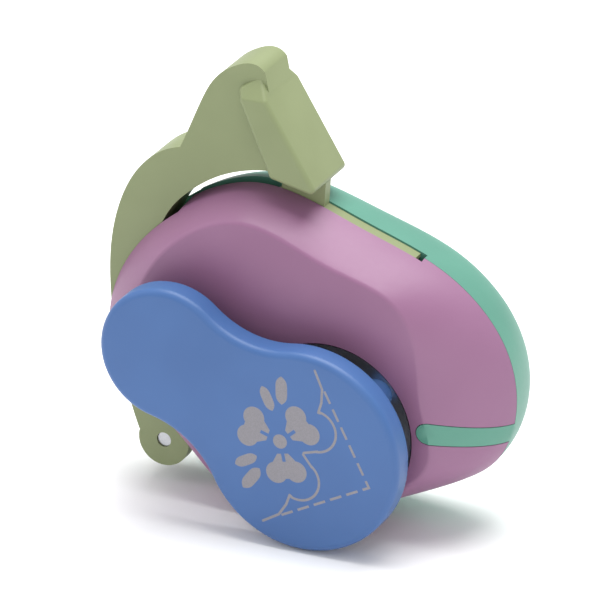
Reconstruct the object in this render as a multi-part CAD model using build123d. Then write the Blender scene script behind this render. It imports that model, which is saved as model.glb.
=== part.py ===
from build123d import *
import os
from math import atan2, cos, hypot, radians, sin, sqrt

# Corner punch that stands on its lower edge. Lengths are in mm.
# While it is drawn, X runs along the body, Y across it (the paper side is -Y) and Z is up,
# with Y = 0 on the seam between the two covers. PLACE then puts the object on Z = 0.
PLACE = Location((48.85, 5.5, 32.4))
FLOOR_Z = -32.4

# Body covers
SEAM_POINTS = [
    (-93.5, -2.0), (-89.1, 14.1), (-76.4, 27.0), (-60.0, 33.8), (-38.0, 28.3), (-19.7, 20.8),
    (-7.8, 8.4), (-4.9, -3.5), (-9.2, -17.0), (-22.0, -25.0), (-36.0, -30.6), (-50.0, -33.6),
    (-66.0, -30.5), (-78.5, -21.5), (-88.5, -13.5),
]
BODY_CENTRE = (-49.0, 0.5)
NEAR_TAPER = [11.0, 9.0, 5.5, 4.3, 4.8, 6.0, 13.0, 15.0, 9.5, 4.5, 3.5, 4.5, 5.0, 8.0, 10.0]
NEAR_STEPS = [(0.0, 0.0), (4.5, 0.2), (9.0, 0.55), (13.0, 1.0)]
FAR_TAPER = [8.0, 7.0, 8.0, 6.5, 3.5, 3.5, 4.0, 4.0, 4.0, 4.0, 4.5, 4.5, 5.0, 7.0, 8.0]
FAR_STEPS = [(0.0, 0.0), (5.0, 0.08), (9.0, 0.3), (12.0, 0.68), (13.0, 1.0)]
CREASE_R = 1.2
COVER_DEPTH = 13.0
COVER_WALL = 2.0
SEAM_GAP = 0.15
WALL_BITE = 0.5
BOSS_SHY = 0.8
REACH = 300.0
CUT_OVER = 1.0
WINDOW_DEPTH = 6.0
SEAT_GAP = 0.02

# Slot for the lever arm at the blunt end
ARM_HALF = 5.0
SLOT_HALF = 5.35
SLOT_EDGE = [
    (-70.0, -36.0), (-71.0, -19.0), (-77.0, -13.0), (-80.6, -6.0), (-81.6, 2.0), (-81.2, 11.0),
    (-78.5, 21.6), (-73.0, 29.5), (-67.0, 35.0), (-67.0, 44.0), (-110.0, 44.0), (-110.0, -36.0),
]

# Lever
PIVOT = (-79.0, -24.0)
PIVOT_PIN_R = 1.5
PIVOT_PIN_HALF = 4.6
RUNNING_GAP = 0.05
FOOT_R = 5.5
LUG_HALF = 2.0
CHEEK_GAP = 0.3
LUG_CLEAR_R = 8.5
ARM_OUTER = [
    (-84.4, -22.5), (-88.6, -8.0), (-90.4, 6.0), (-90.2, 17.0), (-88.5, 25.0), (-84.2, 33.6),
    (-79.6, 37.9), (-75.0, 39.8),
]
ARM_UPPER = [
    (-75.0, 39.8), (-72.9, 44.6), (-70.6, 50.0), (-67.3, 55.8), (-62.7, 59.2), (-58.8, 60.0),
    (-56.6, 58.6),
]
ARM_INNER = [
    (-52.5, 38.2), (-59.0, 37.7), (-67.6, 34.6), (-72.5, 31.2), (-76.7, 27.0), (-80.2, 20.0),
    (-82.0, 11.0), (-82.3, 0.0), (-80.3, -10.0), (-76.5, -19.0),
]
HEAD_HALF = 7.75
HEAD_REAR = [(-61.9, 54.9), (-54.6, 37.6)]
HEAD_FRONT = [(-44.0, 35.3), (-57.6, 57.6)]
HEAD_ROOF = [(-7.75, 30.0), (7.75, 30.0), (7.75, 53.5), (3.5, 59.0), (-3.5, 59.0), (-7.75, 53.5)]
HEAD_EDGE_R = 1.0

# Web of the lever, which runs in the seam
WEB_HALF = 1.2
WEB_GAP = 0.2
WEB_SHY = 0.35
WEB_OUTLINE = [
    (-26.2, 40.0), (-26.2, 23.0), (-33.0, 17.0), (-38.0, 6.0), (-38.6, -1.6), (-49.3, -6.0),
    (-53.0, 2.0), (-54.6, 16.0), (-55.6, 40.0),
]
WEB_NECK = [(-54.8, 30.0), (-46.0, 28.0), (-45.4, 36.0), (-54.8, 38.5)]
WEB_SLOT = [(-74.0, 45.0), (-24.8, 45.0), (-24.8, 20.0), (-31.0, 13.0), (-74.0, 13.0)]

# Wedge on the web, and the nose on the carrier that it pushes
LEVER_SWING = 15.0
STROKE = 6.0
NOSE_AT = (-42.0, -9.0)
NOSE_R = 3.0
NOSE_Y = -2.95
NOSE_GAP = 0.15
WEDGE_HALF = 6.0
WEDGE_BACK_Y = 8.2
WEDGE_FACE_Y = 0.25
WEDGE_LEAD = 12.5
WEDGE_LAP = 5.5
WEDGE_TAIL = 14.0
RIVET_R = 1.0
RIVET_HEAD_R = 1.9
RIVET_HEAD_T = 0.7
RIVET_SPREAD = 3.2

# Chassis
CHASSIS_Y = (8.5, 11.0)
CHASSIS_INSET = 8.0
CHASSIS_TAPER = 0.3
PILLAR_R = 2.6
PILLARS = [(-27.0, 10.0), (-56.0, -21.5), (-66.0, 2.0)]
LUG_BLOCK = (-73.0, -67.6, -19.0, -11.0)
LUG_SHY = 0.6
LUG_BAR_HALF = 3.2
PLATE_SCREW_R = 0.8
PLATE_SCREW_HOLE_R = 0.85
PLATE_SCREW_LENGTH = 6.0
PLATE_SCREW_HEAD_R = 1.5
PLATE_SCREW_HEAD_T = 0.8

# Covers' screws
BOSSES = [(-18.3, 1.5), (-63.5, -17.5), (-72.0, 12.0)]
BOSS_R = 3.0
SCREW_R = 1.4
SCREW_HOLE_R = 1.45
SCREW_HEAD_R = 2.4
SCREW_SEAT_R = 2.6
SCREW_SEAT_Y = 12.0
SCREW_HEAD_T = 0.9
SCREW_LENGTH = 16.0
SCREW_DEEPER = 1.0
DRIVE_R = 1.0
DRIVE_DEPTH = 0.6

# Punch station, and the corner that it cuts
STATION = (-39.5, -10.5)
PAD_R = 17.6
PAD_LOW_Z = -26.3
PAD_FACE_Y = -12.6
FLANGE_Y = (-10.7, -9.3)
PAD_GAP = 0.4
PAD_STEP = 0.6
EAR_R = 3.0
CARRIER_R = 15.4
CARRIER_LOW_Z = -25.6
CARRIER_Y = (-8.8, -6.0)
TIP_Y = -19.4
CORNER = (-25.6, -15.8)
CORNER_AXIS = 162.0
CORNER_LEG = 19.5
FLOWER_REACH = 16.7
PETAL_OUT = 5.6
LEAF_OUT = 8.8
DOT_R = 1.1
LOBE_ALONG = 1.1
LOBE_ASIDE = 1.5
LOBE_R = 1.7
HEART_POINT = 2.4
HEART_POINT_R = 0.4
PETAL_TURNS = [0, 120, 240]
LEAF_TURNS = [-72, -48, 48, 72]
LEAF_SHAPE = [(-1.6, 0.35), (0.2, 0.85), (1.8, 0.3)]
SCALLOPS = [(13.9, 4.9, 4.6), (15.4, 12.1, 3.2)]
CUT_GAP = 0.15

# Guides and springs
GUIDES = [(-28.9, -1.0), (-60.0, -8.0)]
GUIDE_R = 1.8
GUIDE_ENDS = [-22.0, -10.7]
HUB_R = 4.6
HUB_BORE_R = 3.7
HUB_REAR_Y = -1.0
HUB_FLOOR_Y = -2.2
SPRING_R = 2.95
WIRE_R = 0.35
SPRING_TURNS = 6.0

# Blue die holder
BIG_LOBE = (-40.6, -11.4)
BIG_LOBE_R = 21.0
SMALL_LOBE = (-69.9, 3.6)
SMALL_LOBE_R = 13.9
WAIST_R = 20.0
HOLDER_Y = (-24.0, -18.4)
HOLDER_RIM_R = 1.5
HOLDER_INNER_RIM_R = 0.6
STOP_POSTS = [(-28.9, -1.0), (-26.6, -19.4)]
STOP_POST_R = [3.0, 2.2]
STOP_SCREW_R = 0.9
STOP_HEAD_R = 1.6
STOP_HEAD_T = 0.7
DIE_T = 1.8
DIE_R = 17.0
CHIP_R = 15.4
CHIP_DEPTH = 2.2
POST_ROOT = 0.3
DIE_SCREW_BOSS_R = 2.0
DIE_SCREW_LENGTH = 2.2
STOP_SCREW_LENGTH = 5.0
DIE_SCREWS = [(-53.2, -5.6), (-40.2, -25.4)]

# Strip of the far cover that shows through the near cover
STRIP_FROM = (-18.6, -7.6)
STRIP_TO = (-3.0, -10.8)
STRIP_HALF = 2.0
STRIP_GAP = 0.15
STRIP_SKIN = 2.6
STRIP_ROOT_Y = 1.5


def disc(at, radius, y_from, y_to):
    """Round bar along Y between two Y values."""
    plane = Plane(origin=(at[0], y_from, at[1]), x_dir=(1, 0, 0), z_dir=(0, 1, 0))
    return extrude(plane * Circle(radius), y_to - y_from)


def slab(face, y_from, y_to):
    """Face drawn in the XZ plane, given thickness between two Y values."""
    lifted = Location((0, y_from, 0)) * face
    return extrude(lifted, y_to - y_from, dir=(0, 1, 0))


def flat(points):
    """Straight-sided face in the XZ plane."""
    return make_face(Polyline([(x, 0, z) for x, z in points], close=True))


def round_face(at, radius):
    """Circular face in the XZ plane."""
    plane = Plane(origin=(at[0], 0, at[1]), x_dir=(1, 0, 0), z_dir=(0, 1, 0))
    return plane * Circle(radius)


def body_section(taper, share, inset, y):
    """Closed outline of the body at one depth, with a share of the side face's taper taken off."""
    cx, cz = BODY_CENTRE
    points = []
    for (x, z), most in zip(SEAM_POINTS, taper):
        keep = 1 - (share * most + inset) / hypot(x - cx, z - cz)
        points.append((cx + (x - cx) * keep, y, cz + (z - cz) * keep))
    return make_face(Spline(points, periodic=True))


def half_form(side, inset):
    """Solid domed half of the body, on the +Y or -Y side, made smaller all round by inset."""
    depth_scale = (COVER_DEPTH - inset) / COVER_DEPTH
    taper, steps = (FAR_TAPER, FAR_STEPS) if side > 0 else (NEAR_TAPER, NEAR_STEPS)
    return loft([body_section(taper, share, inset, side * y * depth_scale) for y, share in steps])


def above_floor(shape):
    """Part of the shape above the plane that the punch stands on."""
    return shape & Pos(0, 0, FLOOR_Z + REACH / 2) * Box(REACH, REACH, REACH)


def bar_face(from_point, to_point, half):
    """Straight band in the XZ plane from one point to another, round at both ends."""
    return hull_face([(from_point[0], from_point[1], half), (to_point[0], to_point[1], half)])


def hull_face(circles):
    """Outline drawn tight round a set of circles, in the XZ plane."""
    flat_circles = [Pos(x, z) * Circle(radius) for x, z, radius in circles]
    wires = make_hull(Sketch(children=flat_circles).edges())
    return Plane(origin=(0, 0, 0), x_dir=(1, 0, 0), z_dir=(0, -1, 0)) * wires


def corner_point(along, aside):
    """Point given by its distance from the paper's corner along and across the corner's axis."""
    a = radians(CORNER_AXIS)
    return (
        CORNER[0] + along * cos(a) - aside * sin(a),
        CORNER[1] + along * sin(a) + aside * cos(a),
    )


def heart(at, direction, grow):
    """Heart-shaped face whose point looks towards the middle of the flower."""
    a = radians(direction)
    circles = []
    for side in (-1, 1):
        x = at[0] + LOBE_ALONG * cos(a) - side * LOBE_ASIDE * sin(a)
        z = at[1] + LOBE_ALONG * sin(a) + side * LOBE_ASIDE * cos(a)
        circles.append((x, z, LOBE_R + grow))
    point = (at[0] - HEART_POINT * cos(a), at[1] - HEART_POINT * sin(a))
    circles.append((point[0], point[1], HEART_POINT_R + grow))
    return hull_face(circles)


def leaf(at, direction, grow):
    """Pointed oval face that lies along a direction."""
    a = radians(direction)
    circles = []
    for along, radius in LEAF_SHAPE:
        circles.append((at[0] + along * cos(a), at[1] + along * sin(a), radius + grow))
    return hull_face(circles)


def round_the_flower(turn, out):
    """Direction of a place round the flower, and the place itself."""
    direction = CORNER_AXIS + turn
    a = radians(direction)
    middle = corner_point(FLOWER_REACH, 0)
    return direction, (middle[0] + out * cos(a), middle[1] + out * sin(a))


def petal_faces(grow=0.0):
    """Three hearts round the flower's middle."""
    faces = []
    for turn in PETAL_TURNS:
        direction, at = round_the_flower(turn, PETAL_OUT)
        faces.append(heart(at, direction, grow))
    return faces


def leaf_faces(grow=0.0):
    """Two pairs of leaves between the hearts."""
    faces = []
    for turn in LEAF_TURNS:
        direction, at = round_the_flower(turn, LEAF_OUT)
        faces.append(leaf(at, direction, grow))
    return faces


def corner_face(grow=0.0):
    """Corner of the paper that is cut away, with a scalloped inner side."""
    far = CORNER_LEG * sqrt(0.5) + grow
    wide = far + grow * sqrt(2)
    face = flat([corner_point(-grow * sqrt(2), 0), corner_point(far, wide), corner_point(far, -wide)])
    for along, aside, radius in SCALLOPS:
        for side in (-1, 1):
            face = face - round_face(corner_point(along, side * aside), radius - grow)
    return face


def cutter_faces(grow=0.0):
    """Every opening of the punched pattern."""
    middle = corner_point(FLOWER_REACH, 0)
    return petal_faces(grow) + leaf_faces(grow) + [round_face(middle, DOT_R + grow), corner_face(grow)]


def open_half(side):
    """Hollow cover shell before its openings are made."""
    outer = half_form(side, 0)
    crease = outer.faces().sort_by(Axis.Y)[0 if side < 0 else -1].edges()
    outer = above_floor(fillet(crease, CREASE_R))
    inner = half_form(side, COVER_WALL)
    floor_cut = Pos(0, 0, FLOOR_Z + COVER_WALL + REACH / 2) * Box(REACH, REACH, REACH)
    shell = outer - (inner & floor_cut)
    shell -= slab(flat(SLOT_EDGE), -SLOT_HALF, SLOT_HALF)
    web_slot = WEB_HALF + WEB_GAP
    shell -= slab(flat(WEB_SLOT), -web_slot, web_slot)
    return shell


def pad_face(radius_gap, low_gap):
    """Outline of the punch pad, which is a disc cut off near the floor."""
    low = PAD_LOW_Z - low_gap
    window = flat([(-REACH, low), (REACH, low), (REACH, REACH), (-REACH, REACH)])
    return round_face(STATION, PAD_R + radius_gap) & window


def near_cover():
    """Cover on the paper side, with the pad's window, the strip's slit and the screw bosses."""
    shell = open_half(-1)
    front = -COVER_DEPTH - CUT_OVER
    shell -= slab(pad_face(PAD_GAP, PAD_GAP), front, -COVER_DEPTH + WINDOW_DEPTH)
    shell -= slab(bar_face(STRIP_FROM, STRIP_TO, STRIP_HALF + STRIP_GAP), front, CUT_OVER)
    seam_trim = Pos(0, REACH / 2 - SEAM_GAP / 2, 0) * Box(REACH, REACH, REACH)
    shell -= seam_trim
    wall_y = -COVER_DEPTH + COVER_WALL
    within = half_form(-1, BOSS_SHY) + Pos(0, REACH / 2, 0) * Box(REACH, REACH, REACH)
    for at in BOSSES:
        shell += disc(at, BOSS_R, wall_y - WALL_BITE, CHASSIS_Y[0]) & within
    for at in BOSSES:
        shell -= disc(at, SCREW_HOLE_R, SCREW_SEAT_Y - SCREW_LENGTH - SCREW_DEEPER, CHASSIS_Y[0])
    return shell


def strip():
    """Skin of the far cover that fills the slit in the near cover."""
    bar = slab(bar_face(STRIP_FROM, STRIP_TO, STRIP_HALF), -COVER_DEPTH, STRIP_ROOT_Y)
    skin = (half_form(-1, 0) + half_form(1, 0)) - half_form(-1, STRIP_SKIN) - half_form(1, STRIP_SKIN)
    return skin & bar


def far_cover():
    """Cover on the side away from the paper, with its strip and the screw seats."""
    shell = open_half(1)
    shell += strip()
    for at in BOSSES:
        shell -= disc(at, SCREW_HOLE_R, CHASSIS_Y[1], COVER_DEPTH + CUT_OVER)
        shell -= disc(at, SCREW_SEAT_R, SCREW_SEAT_Y, COVER_DEPTH + CUT_OVER)
    return shell


def cover_screws():
    """Screws that hold the two covers together through the chassis."""
    screws = []
    for at in BOSSES:
        screw = disc(at, SCREW_R, SCREW_SEAT_Y - SCREW_LENGTH, SCREW_SEAT_Y)
        screw += disc(at, SCREW_HEAD_R, SCREW_SEAT_Y, SCREW_SEAT_Y + SCREW_HEAD_T)
        drive = disc(at, DRIVE_R, SCREW_SEAT_Y + SCREW_HEAD_T - DRIVE_DEPTH, COVER_DEPTH)
        screws.append(screw - drive)
    return screws


def chassis():
    """Plate inside the covers, with the lever's lug, the guide seats and the pad's pillars."""
    body = slab(body_section(FAR_TAPER, CHASSIS_TAPER, CHASSIS_INSET, 0), CHASSIS_Y[0], CHASSIS_Y[1])
    x0, x1, z0, z1 = LUG_BLOCK
    body += slab(flat([(x0, z0), (x1, z0), (x1, z1), (x0, z1)]), -LUG_HALF, CHASSIS_Y[1])
    body += disc(PIVOT, FOOT_R - LUG_SHY, -LUG_HALF, LUG_HALF)
    block_middle = ((x0 + x1) / 2, (z0 + z1) / 2)
    body += slab(bar_face(PIVOT, block_middle, LUG_BAR_HALF), -LUG_HALF, LUG_HALF)
    for at in PILLARS:
        body += disc(at, PILLAR_R, FLANGE_Y[1], CHASSIS_Y[0])
    for at in PILLARS:
        body -= disc(at, PLATE_SCREW_HOLE_R, FLANGE_Y[1], FLANGE_Y[1] + PLATE_SCREW_LENGTH)
    for at in BOSSES:
        body -= disc(at, SCREW_HOLE_R, CHASSIS_Y[0], CHASSIS_Y[1])
    for at in GUIDES:
        body -= disc(at, GUIDE_R + SEAT_GAP, CHASSIS_Y[0], CHASSIS_Y[1])
    body -= disc(PIVOT, PIVOT_PIN_R + SEAT_GAP, -LUG_HALF, LUG_HALF)
    return body


def pivot_pin():
    """Plain steel pin fixed in the chassis lug, on which the lever's two cheeks turn."""
    return disc(PIVOT, PIVOT_PIN_R, -PIVOT_PIN_HALF, PIVOT_PIN_HALF)


def web():
    """Thin web of the lever in the seam, flush with the covers where it shows."""
    filled = slab(body_section(NEAR_TAPER, 0, WEB_SHY, 0), -WEB_HALF, WEB_HALF)
    blade = slab(flat(WEB_OUTLINE), -WEB_HALF, WEB_HALF) & filled
    return blade + slab(flat(WEB_NECK), -WEB_HALF, WEB_HALF)


def head():
    """Thumb pad at the top of the lever."""
    face = flat([HEAD_REAR[1], HEAD_FRONT[0], HEAD_FRONT[1], HEAD_REAR[0]])
    end_on = Plane(origin=(-REACH / 2, 0, 0), x_dir=(0, 1, 0), z_dir=(1, 0, 0))
    roof = extrude(end_on * make_face(Polyline(HEAD_ROOF, close=True)), REACH)
    block = slab(face, -HEAD_HALF, HEAD_HALF) & roof
    return fillet(block.edges(), HEAD_EDGE_R)


def squeeze_lever():
    """Lever in one moulding: forked foot, arm round the blunt end, thumb pad and seam web."""
    outer = Spline([(x, 0, z) for x, z in ARM_OUTER])
    upper = Spline([(x, 0, z) for x, z in ARM_UPPER])
    inner = Spline([(x, 0, z) for x, z in ARM_INNER])
    top_join = Line((ARM_UPPER[-1][0], 0, ARM_UPPER[-1][1]), (ARM_INNER[0][0], 0, ARM_INNER[0][1]))
    foot_join = Line((ARM_INNER[-1][0], 0, ARM_INNER[-1][1]), (ARM_OUTER[0][0], 0, ARM_OUTER[0][1]))
    arm_face = make_face(Wire([outer, upper, top_join, inner, foot_join]))
    arm = slab(arm_face, -ARM_HALF, ARM_HALF)
    arm += disc(PIVOT, FOOT_R, -ARM_HALF, ARM_HALF)
    arm += head()
    arm += web()
    fork = LUG_HALF + CHEEK_GAP
    arm -= slab(round_face(PIVOT, LUG_CLEAR_R), -fork, fork)
    arm -= disc(PIVOT, PIVOT_PIN_R + RUNNING_GAP, -ARM_HALF - CUT_OVER, ARM_HALF + CUT_OVER)
    for at in rivet_places():
        arm -= disc(at, RIVET_R + SEAT_GAP, -WEB_HALF, WEB_HALF)
    return arm


def wedge_frame():
    """Plane through the nose, with X along the wedge's travel and Y across the body."""
    a = atan2(NOSE_AT[1] - PIVOT[1], NOSE_AT[0] - PIVOT[0])
    return Plane(
        origin=(NOSE_AT[0], 0, NOSE_AT[1]),
        x_dir=(-sin(a), 0, cos(a)),
        z_dir=(-cos(a), 0, -sin(a)),
    )


def wedge_slope():
    """Rise of the wedge's face for each mm that it travels."""
    radius = hypot(NOSE_AT[0] - PIVOT[0], NOSE_AT[1] - PIVOT[1])
    return STROKE / (radius * sin(radians(LEVER_SWING)))


def on_wedge(along, aside):
    """Place on the wedge, measured from the nose along the travel and outwards from the pivot."""
    a = atan2(NOSE_AT[1] - PIVOT[1], NOSE_AT[0] - PIVOT[0])
    return (
        NOSE_AT[0] - along * sin(a) + aside * cos(a),
        NOSE_AT[1] + along * cos(a) + aside * sin(a),
    )


def rivet_places():
    """Two places for the rivets through the web and the wedge."""
    along = (WEDGE_LAP + WEDGE_TAIL) / 2
    return [on_wedge(along, -RIVET_SPREAD), on_wedge(along, RIVET_SPREAD)]


def wedge():
    """Steel wedge on the web: its sloping face pushes the carrier's nose as the lever closes."""
    slope = wedge_slope()
    ramp_y = NOSE_Y + (NOSE_R + NOSE_GAP) * sqrt(1 + slope * slope)
    ramp_end = (ramp_y - WEDGE_FACE_Y) / slope
    profile = Polyline(
        (-WEDGE_LEAD, WEDGE_BACK_Y),
        (-WEDGE_LEAD, ramp_y + slope * WEDGE_LEAD),
        (ramp_end, WEDGE_FACE_Y),
        (WEDGE_LAP, WEDGE_FACE_Y),
        (WEDGE_LAP, WEB_HALF),
        (WEDGE_TAIL, WEB_HALF),
        (WEDGE_TAIL, WEDGE_BACK_Y),
        close=True,
    )
    block = extrude(wedge_frame() * make_face(profile), WEDGE_HALF, both=True)
    for at in rivet_places():
        block -= disc(at, RIVET_R + SEAT_GAP, WEB_HALF, WEDGE_BACK_Y)
        block -= disc(at, RIVET_HEAD_R + SEAT_GAP, WEDGE_BACK_Y - RIVET_HEAD_T, WEDGE_BACK_Y)
    return block


def rivets():
    """Rivets that hold the wedge on the web."""
    pieces = []
    for at in rivet_places():
        rivet = disc(at, RIVET_R, -WEB_HALF, WEDGE_BACK_Y)
        rivet += disc(at, RIVET_HEAD_R, -WEB_HALF - RIVET_HEAD_T, -WEB_HALF)
        rivet += disc(at, RIVET_HEAD_R, WEDGE_BACK_Y - RIVET_HEAD_T, WEDGE_BACK_Y)
        pieces.append(rivet)
    return pieces


def stripper_plate():
    """Plate behind the pad's window, whose raised pad strips the paper off the cutters."""
    ears = [(x, z, EAR_R) for x, z in PILLARS + GUIDES[1:]]
    outline = hull_face(ears + [(STATION[0], STATION[1], PAD_R - PAD_STEP)])
    low_z = PAD_LOW_Z + PAD_STEP
    low = flat([(-REACH, low_z), (REACH, low_z), (REACH, REACH), (-REACH, REACH)])
    front, back = PAD_FACE_Y - CUT_OVER, FLANGE_Y[1] + CUT_OVER
    plate = slab(outline & low, FLANGE_Y[0], FLANGE_Y[1])
    plate += slab(pad_face(0, 0), PAD_FACE_Y, FLANGE_Y[1])
    for face in cutter_faces(CUT_GAP):
        plate -= slab(face, front, back)
    for at in GUIDES:
        plate -= disc(at, GUIDE_R + SEAT_GAP, front, back)
    for at in BOSSES:
        plate -= disc(at, BOSS_R + PAD_GAP, front, back)
    plate -= disc(STOP_POSTS[1], STOP_SCREW_R + SEAT_GAP, front, back)
    plate -= disc(STOP_POSTS[1], STOP_HEAD_R + SEAT_GAP, FLANGE_Y[1] - STOP_HEAD_T, back)
    for at in PILLARS:
        plate -= disc(at, PLATE_SCREW_R + SEAT_GAP, front, back)
        plate -= disc(at, PLATE_SCREW_HEAD_R + SEAT_GAP, front, FLANGE_Y[0] + PLATE_SCREW_HEAD_T)
    return plate


def plate_screws():
    """Screws that hold the stripper plate on the chassis pillars."""
    screws = []
    for at in PILLARS:
        screw = disc(at, PLATE_SCREW_R, FLANGE_Y[0], FLANGE_Y[1] + PLATE_SCREW_LENGTH)
        screw += disc(at, PLATE_SCREW_HEAD_R, FLANGE_Y[0], FLANGE_Y[0] + PLATE_SCREW_HEAD_T)
        screws.append(screw)
    return screws


def guide_posts():
    """Steel posts that the carrier slides on; the first also carries the die holder."""
    return [disc(at, GUIDE_R, end, CHASSIS_Y[1]) for at, end in zip(GUIDES, GUIDE_ENDS)]


def springs():
    """Return springs round the guide posts, inside the carrier's hubs."""
    height = HUB_FLOOR_Y - FLANGE_Y[1] - 2 * WIRE_R
    coils = []
    for x, z in GUIDES:
        foot = (x, FLANGE_Y[1] + WIRE_R, z)
        path = Helix(height / SPRING_TURNS, height, SPRING_R, center=foot, direction=(0, 1, 0))
        wire = Plane(origin=path @ 0, z_dir=path % 0) * Circle(WIRE_R)
        coils.append(sweep(wire, path=path, is_frenet=True))
    return coils


def punch_carrier():
    """Steel plate that carries the cutters, with its two hubs and the domed nose."""
    circles = [(STATION[0], STATION[1], CARRIER_R)] + [(x, z, HUB_R) for x, z in GUIDES]
    low = flat([(-REACH, CARRIER_LOW_Z), (REACH, CARRIER_LOW_Z), (REACH, REACH), (-REACH, REACH)])
    body = slab(hull_face(circles) & low, CARRIER_Y[0], CARRIER_Y[1])
    for at in GUIDES:
        body += disc(at, HUB_R, CARRIER_Y[0], HUB_REAR_Y)
    for at in GUIDES:
        body -= disc(at, HUB_BORE_R, CARRIER_Y[0], HUB_FLOOR_Y)
        body -= disc(at, GUIDE_R + RUNNING_GAP, HUB_FLOOR_Y, HUB_REAR_Y)
    body += disc(NOSE_AT, NOSE_R, CARRIER_Y[1], NOSE_Y)
    body += Pos(NOSE_AT[0], NOSE_Y, NOSE_AT[1]) * Sphere(NOSE_R)
    return body


def cutters(faces):
    """Cutting columns that stand on the carrier."""
    return [slab(face, TIP_Y, CARRIER_Y[0]) for face in faces]


def toward(start, goal, distance):
    """Point at a distance from the start, in the direction of the goal."""
    span = hypot(goal[0] - start[0], goal[1] - start[1])
    x = start[0] + (goal[0] - start[0]) * distance / span
    z = start[1] + (goal[1] - start[1]) * distance / span
    return (x, 0, z)


def waist_middle(side):
    """Centre of the round hollow on one side of the neck."""
    (ax, az), (bx, bz) = BIG_LOBE, SMALL_LOBE
    span = hypot(bx - ax, bz - az)
    to_a, to_b = BIG_LOBE_R + WAIST_R, SMALL_LOBE_R + WAIST_R
    along = (span * span + to_a * to_a - to_b * to_b) / (2 * span)
    aside = side * sqrt(to_a * to_a - along * along)
    ux, uz = (bx - ax) / span, (bz - az) / span
    return (ax + along * ux - aside * uz, az + along * uz + aside * ux)


def holder_outline():
    """Two round lobes joined by hollow waists, all arcs meeting smoothly."""
    high, low = waist_middle(-1), waist_middle(1)
    neck_x, _, neck_z = toward(BIG_LOBE, SMALL_LOBE, BIG_LOBE_R)
    neck = (neck_x, neck_z)
    a_low, a_high = toward(BIG_LOBE, low, BIG_LOBE_R), toward(BIG_LOBE, high, BIG_LOBE_R)
    b_low, b_high = toward(SMALL_LOBE, low, SMALL_LOBE_R), toward(SMALL_LOBE, high, SMALL_LOBE_R)
    arcs = [
        ThreePointArc(a_low, toward(BIG_LOBE, SMALL_LOBE, -BIG_LOBE_R), a_high),
        ThreePointArc(a_high, toward(high, neck, WAIST_R), b_high),
        ThreePointArc(b_high, toward(SMALL_LOBE, BIG_LOBE, -SMALL_LOBE_R), b_low),
        ThreePointArc(b_low, toward(low, neck, WAIST_R), a_low),
    ]
    return make_face(Wire(arcs))


def die_holder():
    """Blue die holder with its two stop posts, the die's pocket and the chip space."""
    body = slab(holder_outline(), HOLDER_Y[0], HOLDER_Y[1])
    outer_rim = body.faces().sort_by(Axis.Y)[0].edges()
    body = fillet(outer_rim, HOLDER_RIM_R)
    inner_rim = body.faces().sort_by(Axis.Y)[-1].edges()
    body = fillet(inner_rim, HOLDER_INNER_RIM_R)
    body -= disc(STATION, DIE_R + SEAT_GAP, HOLDER_Y[1] - DIE_T, HOLDER_Y[1])
    body -= disc(STATION, CHIP_R, HOLDER_Y[1] - DIE_T - CHIP_DEPTH, HOLDER_Y[1] - DIE_T)
    for at, radius in zip(STOP_POSTS, STOP_POST_R):
        body += disc(at, radius + POST_ROOT, HOLDER_Y[1] - DIE_T - CHIP_DEPTH, HOLDER_Y[1] - DIE_T)
        body += disc(at, radius, HOLDER_Y[1] - DIE_T, PAD_FACE_Y)
    for at in DIE_SCREWS:
        body += disc(at, DIE_SCREW_BOSS_R, HOLDER_Y[1] - DIE_T - CHIP_DEPTH, HOLDER_Y[1] - DIE_T)
    body -= disc(STOP_POSTS[0], GUIDE_R + SEAT_GAP, GUIDE_ENDS[0], PAD_FACE_Y)
    body -= disc(STOP_POSTS[1], STOP_SCREW_R + SEAT_GAP, PAD_FACE_Y - STOP_SCREW_LENGTH, PAD_FACE_Y)
    for at in DIE_SCREWS:
        seat_y = HOLDER_Y[1] - DIE_T
        body -= disc(at, PLATE_SCREW_R + SEAT_GAP, seat_y - DIE_SCREW_LENGTH, seat_y)
    return body


def stop_screw():
    """Screw from inside the stripper plate into the second stop post."""
    at = STOP_POSTS[1]
    screw = disc(at, STOP_SCREW_R, PAD_FACE_Y - STOP_SCREW_LENGTH, FLANGE_Y[1])
    return screw + disc(at, STOP_HEAD_R, FLANGE_Y[1] - STOP_HEAD_T, FLANGE_Y[1])


def die_plate():
    """Steel die, which the cutters enter."""
    plate = disc(STATION, DIE_R, HOLDER_Y[1] - DIE_T, HOLDER_Y[1])
    for face in cutter_faces(CUT_GAP):
        plate -= slab(face, HOLDER_Y[1] - DIE_T, HOLDER_Y[1])
    for at, radius in zip(STOP_POSTS, STOP_POST_R):
        plate -= disc(at, radius + SEAT_GAP, HOLDER_Y[1] - DIE_T, HOLDER_Y[1])
    for at in DIE_SCREWS:
        plate -= disc(at, PLATE_SCREW_R + SEAT_GAP, HOLDER_Y[1] - DIE_T, HOLDER_Y[1])
        plate -= disc(at, PLATE_SCREW_HEAD_R + SEAT_GAP, HOLDER_Y[1] - PLATE_SCREW_HEAD_T, HOLDER_Y[1])
    return plate


def die_screws():
    """Flush screws that hold the die in the blue holder."""
    screws = []
    for at in DIE_SCREWS:
        screw = disc(at, PLATE_SCREW_R, HOLDER_Y[1] - DIE_T - DIE_SCREW_LENGTH, HOLDER_Y[1])
        screw += disc(at, PLATE_SCREW_HEAD_R, HOLDER_Y[1] - PLATE_SCREW_HEAD_T, HOLDER_Y[1])
        screws.append(screw)
    return screws


def save(name, shapes):
    """Write one node's STEP file, with the object moved to where it stands."""
    if not isinstance(shapes, list):
        shapes = [shapes]
    solids = []
    for shape in shapes:
        solids.extend(PLACE * solid for solid in shape.solids())
    export_step(Compound(children=solids), f"parts/{name}.step")


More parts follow.
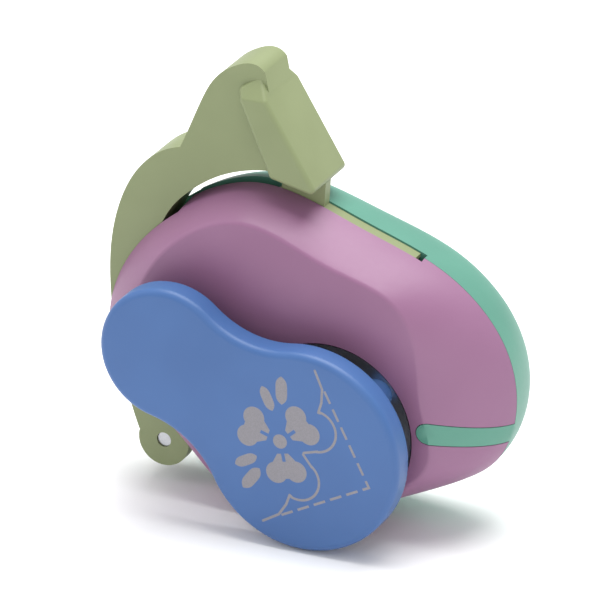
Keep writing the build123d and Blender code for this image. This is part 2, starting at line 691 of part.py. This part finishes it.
os.makedirs("parts", exist_ok=True)
save("near_cover", near_cover())
save("far_cover", far_cover())
save("cover_screws", cover_screws())
save("chassis", chassis())
save("pivot_pin", pivot_pin())
save("squeeze_lever", squeeze_lever())
save("wedge", wedge())
save("wedge_rivets", rivets())
save("stripper_plate", stripper_plate())
save("plate_screws", plate_screws())
save("guide_posts", guide_posts())
save("return_springs", springs())
save("punch_carrier", punch_carrier())
save("petal_cutters", cutters(petal_faces()))
save("leaf_cutters", cutters(leaf_faces()))
save("dot_cutter", cutters([round_face(corner_point(FLOWER_REACH, 0), DOT_R)]))
save("corner_cutter", cutters([corner_face()]))
save("die_holder", die_holder())
save("stop_screw", stop_screw())
save("die_plate", die_plate())
save("die_screws", die_screws())
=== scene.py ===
import bpy
from math import cos, radians, sin, sqrt
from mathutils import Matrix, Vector


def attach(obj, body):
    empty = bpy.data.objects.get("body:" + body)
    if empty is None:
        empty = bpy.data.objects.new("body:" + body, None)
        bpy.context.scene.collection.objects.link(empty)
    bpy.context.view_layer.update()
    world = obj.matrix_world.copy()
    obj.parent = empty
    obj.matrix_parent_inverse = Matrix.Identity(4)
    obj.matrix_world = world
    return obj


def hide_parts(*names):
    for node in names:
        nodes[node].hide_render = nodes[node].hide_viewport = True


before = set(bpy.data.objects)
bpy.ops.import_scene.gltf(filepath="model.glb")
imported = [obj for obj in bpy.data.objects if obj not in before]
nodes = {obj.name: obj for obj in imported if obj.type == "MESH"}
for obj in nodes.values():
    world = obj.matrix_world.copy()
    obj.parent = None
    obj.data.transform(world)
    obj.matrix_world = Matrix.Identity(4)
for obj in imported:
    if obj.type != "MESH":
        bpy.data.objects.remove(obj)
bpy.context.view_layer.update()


# The near cover is the pink half of the body, on the paper side. It is a moulded plastic shell with
# a satin face, held by screws from the far side. Its material is written with the two classes below,
# and its mesh is the part's own, with the loose faces joined and smoothed.
class Socket:
    """A shader value that can be used in plain sums, so that a material reads like its formula."""

    def __init__(self, out):
        self.out = out

    def make(self, kind, settings, **values):
        """Add one node of any kind: its type, its settings, then its inputs by name."""
        node = self.out.id_data.nodes.new(kind)
        for key, value in settings.items():
            setattr(node, key, value)
        for key, value in values.items():
            name = key.replace("_", " ")
            # The Mix node has one set of inputs for each data type, and only one set is enabled
            put = next(i for i in node.inputs if i.name == name and i.enabled)
            if isinstance(value, Socket):
                self.out.id_data.links.new(value.out, put)
            else:
                put.default_value = value
        return Socket(next(o for o in node.outputs if o.enabled))

    def sum(self, operation, first, second=None):
        node = self.out.id_data.nodes.new("ShaderNodeMath")
        node.operation = operation
        for put, value in zip(node.inputs, (first, second)):
            if isinstance(value, Socket):
                self.out.id_data.links.new(value.out, put)
            elif value is not None:
                put.default_value = value
        return Socket(node.outputs[0])

    def __add__(self, other): return self.sum("ADD", self, other)
    def __radd__(self, other): return self.sum("ADD", other, self)
    def __sub__(self, other): return self.sum("SUBTRACT", self, other)
    def __rsub__(self, other): return self.sum("SUBTRACT", other, self)
    def __mul__(self, other): return self.sum("MULTIPLY", self, other)
    def __rmul__(self, other): return self.sum("MULTIPLY", other, self)
    def __truediv__(self, other): return self.sum("DIVIDE", self, other)
    def __pow__(self, other): return self.sum("POWER", self, other)
    def __abs__(self): return self.sum("ABSOLUTE", self)
    def __mod__(self, other): return self.sum("FLOORED_MODULO", self, other)
    def __lt__(self, other): return self.sum("LESS_THAN", self, other)
    def __gt__(self, other): return self.sum("GREATER_THAN", self, other)
    def __and__(self, other): return self.sum("MULTIPLY", self, other)
    def __or__(self, other): return self.sum("MAXIMUM", self, other)
    def least(self, other): return self.sum("MINIMUM", self, other)
    def root(self): return self.sum("SQRT", self)

    def ramp(self, low, high):
        """0 below low, 1 above high and a soft step between."""
        return self.make("ShaderNodeMapRange", {"interpolation_type": "SMOOTHSTEP"},
                         Value=self, From_Min=low, From_Max=high)

    def blend(self, first, second):
        """The first colour where this is 0 and the second where it is 1."""
        return self.make("ShaderNodeMix", {"data_type": "RGBA"}, Factor=self, A=first, B=second)


class Surface:
    """A new material: its Object coordinates in mm, and the shader that it ends in."""

    def __init__(self, name):
        self.material = bpy.data.materials.new(name)
        self.material.use_nodes = True
        tree = self.material.node_tree
        self.shader = next(n for n in tree.nodes if n.type == "BSDF_PRINCIPLED")
        place = tree.nodes.new("ShaderNodeTexCoord").outputs["Object"]
        to_mm = tree.nodes.new("ShaderNodeVectorMath")
        to_mm.operation = "SCALE"
        tree.links.new(place, to_mm.inputs[0])
        to_mm.inputs["Scale"].default_value = 1000
        self.place = Socket(to_mm.outputs[0])
        axes = tree.nodes.new("ShaderNodeSeparateXYZ")
        tree.links.new(to_mm.outputs[0], axes.inputs[0])
        self.x, self.y, self.z = (Socket(out) for out in axes.outputs)

    def noise(self, per_mm, detail=2.0):
        return self.place.make("ShaderNodeTexNoise", {}, Vector=self.place, Scale=per_mm, Detail=detail)

    def set(self, **values):
        for key, value in values.items():
            put = self.shader.inputs[key.replace("_", " ")]
            if isinstance(value, Socket):
                self.material.node_tree.links.new(value.out, put)
            else:
                put.default_value = value

    def bump(self, height, distance_mm, strength=1.0):
        self.set(Normal=self.place.make("ShaderNodeBump", {}, Height=height, Strength=strength,
                                        Distance=distance_mm / 1000))


def skin(name, body, slot, surface, *cad_nodes, smooth_below=35):
    """Merge the loose faces of CAD nodes into one smooth piece that stands for them."""
    bpy.ops.object.select_all(action="DESELECT")
    copies = []
    for node in cad_nodes:
        copy = nodes[node].copy()
        copy.data = nodes[node].data.copy()
        bpy.context.scene.collection.objects.link(copy)
        copy.hide_render = copy.hide_viewport = False
        for key in list(copy.keys()):
            if key.startswith("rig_"):
                del copy[key]
        copy.parent = None
        copy.select_set(True)
        copies.append(copy)
    bpy.context.view_layer.objects.active = copies[0]
    if len(copies) > 1:
        bpy.ops.object.join()
    piece = bpy.context.view_layer.objects.active
    piece.name = name
    bpy.ops.object.mode_set(mode="EDIT")
    bpy.ops.mesh.select_all(action="SELECT")
    bpy.ops.mesh.customdata_custom_splitnormals_clear()
    bpy.ops.mesh.remove_doubles(threshold=2e-6)
    bpy.ops.object.mode_set(mode="OBJECT")
    bpy.ops.object.shade_smooth_by_angle(angle=radians(smooth_below))
    piece.data.materials.clear()
    piece.data.materials.append(surface.material)
    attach(piece, body)
    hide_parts(*cad_nodes)
    return piece


PINK = (0.275, 0.130, 0.230, 1)
PINK_DEEP = (0.250, 0.112, 0.207, 1)
pink = Surface("pink_plastic")
pink.set(Base_Color=pink.noise(0.04).ramp(0.3, 0.7).blend(PINK, PINK_DEEP),
         Roughness=0.42 + 0.08 * pink.noise(0.9), Specular_IOR_Level=0.45)
pink.bump(pink.noise(2.6, 3.0), 0.02, 0.35)
skin("near_cover_skin", "body", "pink_plastic", pink, "near_cover")

# The far cover is the teal half of the body, with the strip that fills the near cover's slit. It is
# the same kind of moulded shell as the near cover.
TEAL = (0.096, 0.282, 0.210, 1)
TEAL_DEEP = (0.085, 0.255, 0.190, 1)
teal = Surface("teal_plastic")
teal.set(Base_Color=teal.noise(0.05).ramp(0.3, 0.7).blend(TEAL, TEAL_DEEP),
         Roughness=0.40 + 0.08 * teal.noise(0.9), Specular_IOR_Level=0.45)
teal.bump(teal.noise(2.6, 3.0), 0.02, 0.35)
skin("far_cover_skin", "body", "teal_plastic", teal, "far_cover")

# The lever is one light green moulding: a forked foot on the pivot pin, an arm round the blunt end,
# the thumb pad, and a thin web that runs in the seam.
GREEN = (0.230, 0.268, 0.132, 1)
GREEN_DEEP = (0.210, 0.246, 0.118, 1)
green = Surface("green_plastic")
green.set(Base_Color=green.noise(0.06).ramp(0.3, 0.7).blend(GREEN, GREEN_DEEP),
          Roughness=0.40 + 0.08 * green.noise(0.9), Specular_IOR_Level=0.45)
green.bump(green.noise(2.6, 3.0), 0.02, 0.35)
skin("lever_skin", "lever", "green_plastic", green, "squeeze_lever")

# The die holder is a thick blue plate of two round lobes, on two posts that stop the paper. Its outer
# face is printed in grey with the pattern that the punch cuts.
BLUE = (0.053, 0.130, 0.325, 1)
BLUE_DEEP = (0.048, 0.118, 0.300, 1)
PRINT = (0.250, 0.240, 0.262, 1)
PRINT_THIN = (0.215, 0.207, 0.225, 1)
CORNER_X, CORNER_Z, CORNER_TURN = 23.25, 16.6, radians(162)
PRINT_FACE = -18.2
LINE_HALF = 0.26
SOFT = 0.07
DOT_AT, DOT_R = 20.0, 1.5
LOBE_AHEAD, LOBE_ASIDE, LOBE_R = 3.9, 2.15, 2.25
POINT_HALF, FLANK_SLOPE, FLANK_END = 1.2, 0.78, 4.0
MIDDLE_HALF, MIDDLE_START, MIDDLE_END = 1.9, 2.0, 5.3
SLIT_HALF, SLIT_END = 0.36, 1.7
PETALS = [(22.7, 0.0, 0), (18.7, 2.2, 120)]
LEAVES = [(23.1, 10.5, 71, 3.0, 1.25), (25.3, 7.4, 47, 2.7, 1.1)]
SCALLOP_AT, SCALLOP_R = (13.9, 5.8), 4.35
SCALLOP_OPEN, SCALLOP_INNER, SCALLOP_INNER_TOP = 14.3, 12.4, 5.0
PAST_SCALLOP = 9.0
STROKES = [
    (12.2, 1.9, 14.7, 0.2), (14.2, 10.0, 14.6, 9.9), (14.6, 9.9, 14.65, 12.2),
    (14.65, 12.2, 15.4, 15.0), (15.4, 15.0, 18.0, 18.0),
]
DASH_LEAD, DASH_PITCH, DASH_LENGTH, DASHES_END = 1.2, 3.9, 2.7, 21.2
blue = Surface("blue_plastic")
off_x, off_z = blue.x - CORNER_X, blue.z - CORNER_Z
along = off_x * cos(CORNER_TURN) + off_z * sin(CORNER_TURN)
across = abs(off_z * cos(CORNER_TURN) - off_x * sin(CORNER_TURN))


def inside(distance):
    """1 where a distance in mm is below zero, with a soft edge."""
    return 1 - distance.ramp(-SOFT, SOFT)


def from_point(u, v):
    """Distance on the print from a point given along and across the corner's axis."""
    return ((along - u) ** 2 + (across - v) ** 2).root()


def from_line(u, v, toward_u, toward_v):
    """Distance on the print from a straight stroke between two points."""
    du, dv = toward_u - u, toward_v - v
    share = ((along - u) * du + (across - v) * dv) / (du * du + dv * dv)
    share = share.least(1.0) | 0.0
    return ((along - u - share * du) ** 2 + (across - v - share * dv) ** 2).root()


def petal(u, v, turn):
    """Heart with its blunt point at (u, v) and a slit in the point."""
    ahead = (along - u) * cos(turn) + (across - v) * sin(turn)
    aside = abs((across - v) * cos(turn) - (along - u) * sin(turn))
    lobe = ((ahead - LOBE_AHEAD) ** 2 + (aside - LOBE_ASIDE) ** 2).root() - LOBE_R
    flank = (aside - POINT_HALF - ahead * FLANK_SLOPE) | (ahead - FLANK_END) | (0.0 - ahead)
    middle = (aside - MIDDLE_HALF) | (ahead - MIDDLE_END) | (MIDDLE_START - ahead)
    heart = lobe.least(flank).least(middle)
    slit = (aside - SLIT_HALF) | (ahead - SLIT_END)
    return heart | (0.0 - slit)


def leaf(u, v, turn, half_length, half_width):
    """Blunt oval with its middle at (u, v)."""
    ahead = (along - u) * cos(turn) + (across - v) * sin(turn)
    aside = abs((across - v) * cos(turn) - (along - u) * sin(turn))
    return aside - half_width * (1 - (ahead / half_length) ** 4)


print_mask = inside(from_point(DOT_AT, 0.0) - DOT_R)
for u, v, turn in PETALS:
    print_mask = print_mask | inside(petal(u, v, radians(turn)))
for u, v, turn, half_length, half_width in LEAVES:
    print_mask = print_mask | inside(leaf(u, v, radians(turn), half_length, half_width))
line = abs(from_point(*SCALLOP_AT) - SCALLOP_R)
open_side = (along > SCALLOP_OPEN) | ((along > SCALLOP_INNER) & (across < SCALLOP_INNER_TOP))
line = line + PAST_SCALLOP * open_side
for stroke in STROKES:
    line = line.least(from_line(*stroke))
print_mask = print_mask | inside(line - LINE_HALF)
run = (along + across) * sqrt(0.5)
dash = abs(along - across) * sqrt(0.5) - LINE_HALF
in_dash = ((run + DASH_LEAD) % DASH_PITCH) < DASH_LENGTH
print_mask = print_mask | (inside(dash) & in_dash & (run < DASHES_END))
print_mask = print_mask & (blue.y < PRINT_FACE)
grain = blue.noise(5.0, 2.0).ramp(0.25, 0.75)
body_blue = blue.noise(0.05).ramp(0.3, 0.7).blend(BLUE, BLUE_DEEP)
ink = grain.blend(PRINT, PRINT_THIN)
blue.set(Base_Color=print_mask.blend(body_blue, ink), Roughness=0.42 + 0.22 * print_mask,
         Specular_IOR_Level=0.4)
blue.bump(blue.noise(2.6, 3.0), 0.02, 0.35)
skin("die_holder_skin", "body", "blue_plastic", blue, "die_holder")

# The ground steel pieces are the die, the stripper plate, the cutters and their carrier, the wedge, the
# guide posts and the pivot pin. They show only in the paper gap and when the lever opens.
STEEL = (0.55, 0.56, 0.58, 1)
steel = Surface("ground_steel")
brushed = steel.place.make("ShaderNodeTexNoise", {}, Vector=steel.place, Scale=3.0, Detail=4.0)
steel.set(Base_Color=brushed.blend(STEEL, (0.42, 0.43, 0.45, 1)), Metallic=1.0,
          Roughness=0.28 + 0.12 * brushed)
for name in ("die_plate", "stripper_plate", "guide_posts", "pivot_pin", "wedge", "punch_carrier",
             "petal_cutters", "leaf_cutters", "dot_cutter", "corner_cutter"):
    nodes[name].data.materials.clear()
    nodes[name].data.materials.append(steel.material)

# The screws, rivets and springs are small zinc-plated steel pieces.
zinc = Surface("zinc_plate")
zinc.set(Base_Color=zinc.noise(1.5).blend((0.50, 0.52, 0.55, 1), (0.40, 0.42, 0.46, 1)), Metallic=1.0,
         Roughness=0.34 + 0.1 * zinc.noise(4.0))
for name in ("cover_screws", "plate_screws", "stop_screw", "die_screws", "wedge_rivets", "return_springs"):
    nodes[name].data.materials.clear()
    nodes[name].data.materials.append(zinc.material)

# The chassis is a dark grey moulding inside the covers.
grey = Surface("grey_plastic")
grey.set(Base_Color=grey.noise(0.2).blend((0.05, 0.052, 0.06, 1), (0.065, 0.068, 0.075, 1)),
         Roughness=0.55 + 0.1 * grey.noise(1.0))
nodes["chassis"].data.materials.clear()
nodes["chassis"].data.materials.append(grey.material)

# The floor and backdrop are white paper under a soft light from above, with a weaker fill from the front.
white = Surface("white_paper")
white.set(Base_Color=white.noise(0.01).blend((0.93, 0.93, 0.93, 1), (0.95, 0.95, 0.95, 1)), Roughness=0.9,
          Specular_IOR_Level=0.1)
bpy.ops.mesh.primitive_plane_add(size=6, location=(0, 0, -0.0005))
floor = bpy.context.active_object
floor.name = "floor"
floor.data.materials.append(white.material)

LIGHTS = [
    ("top_light", (0.02, 0.15, 0.85), 0.7, 10.0),
    ("front_fill", (0.35, -0.9, 0.45), 0.7, 1.2),
    ("left_fill", (-0.8, -0.3, 0.5), 0.6, 1.1),
]
TARGET = Vector((-0.00266, 0.0055, 0.0419))
for name, place, width, watts in LIGHTS:
    bpy.ops.object.light_add(type="AREA", location=place)
    lamp = bpy.context.active_object
    lamp.name = name
    lamp.data.size = width
    lamp.data.energy = watts
    lamp.rotation_euler = (TARGET - Vector(place)).to_track_quat("-Z", "Y").to_euler()

world = bpy.data.worlds.new("studio")
bpy.context.scene.world = world
world.use_nodes = True
room = world.node_tree.nodes["Background"]
seen = world.node_tree.nodes.new("ShaderNodeLightPath")
room_light = Socket(seen.outputs["Is Camera Ray"]).blend((0.72, 0.725, 0.735, 1), (1.0, 1.0, 1.0, 1))
world.node_tree.links.new(room_light.out, room.inputs["Color"])
room.inputs["Strength"].default_value = 1.0
bpy.context.scene.view_settings.view_transform = "Standard"

# The camera looks from in front and above, from the side of the slit.
TURN, RISE, AWAY = radians(25), radians(24), 1.634
bpy.ops.object.camera_add()
camera = bpy.context.active_object
camera.data.lens = 500
camera.data.clip_start = 0.01
back = Vector((sin(TURN) * cos(RISE), -cos(TURN) * cos(RISE), sin(RISE)))
camera.location = TARGET + back * AWAY
camera.rotation_euler = (-back).to_track_quat("-Z", "Y").to_euler()
bpy.context.scene.camera = camera
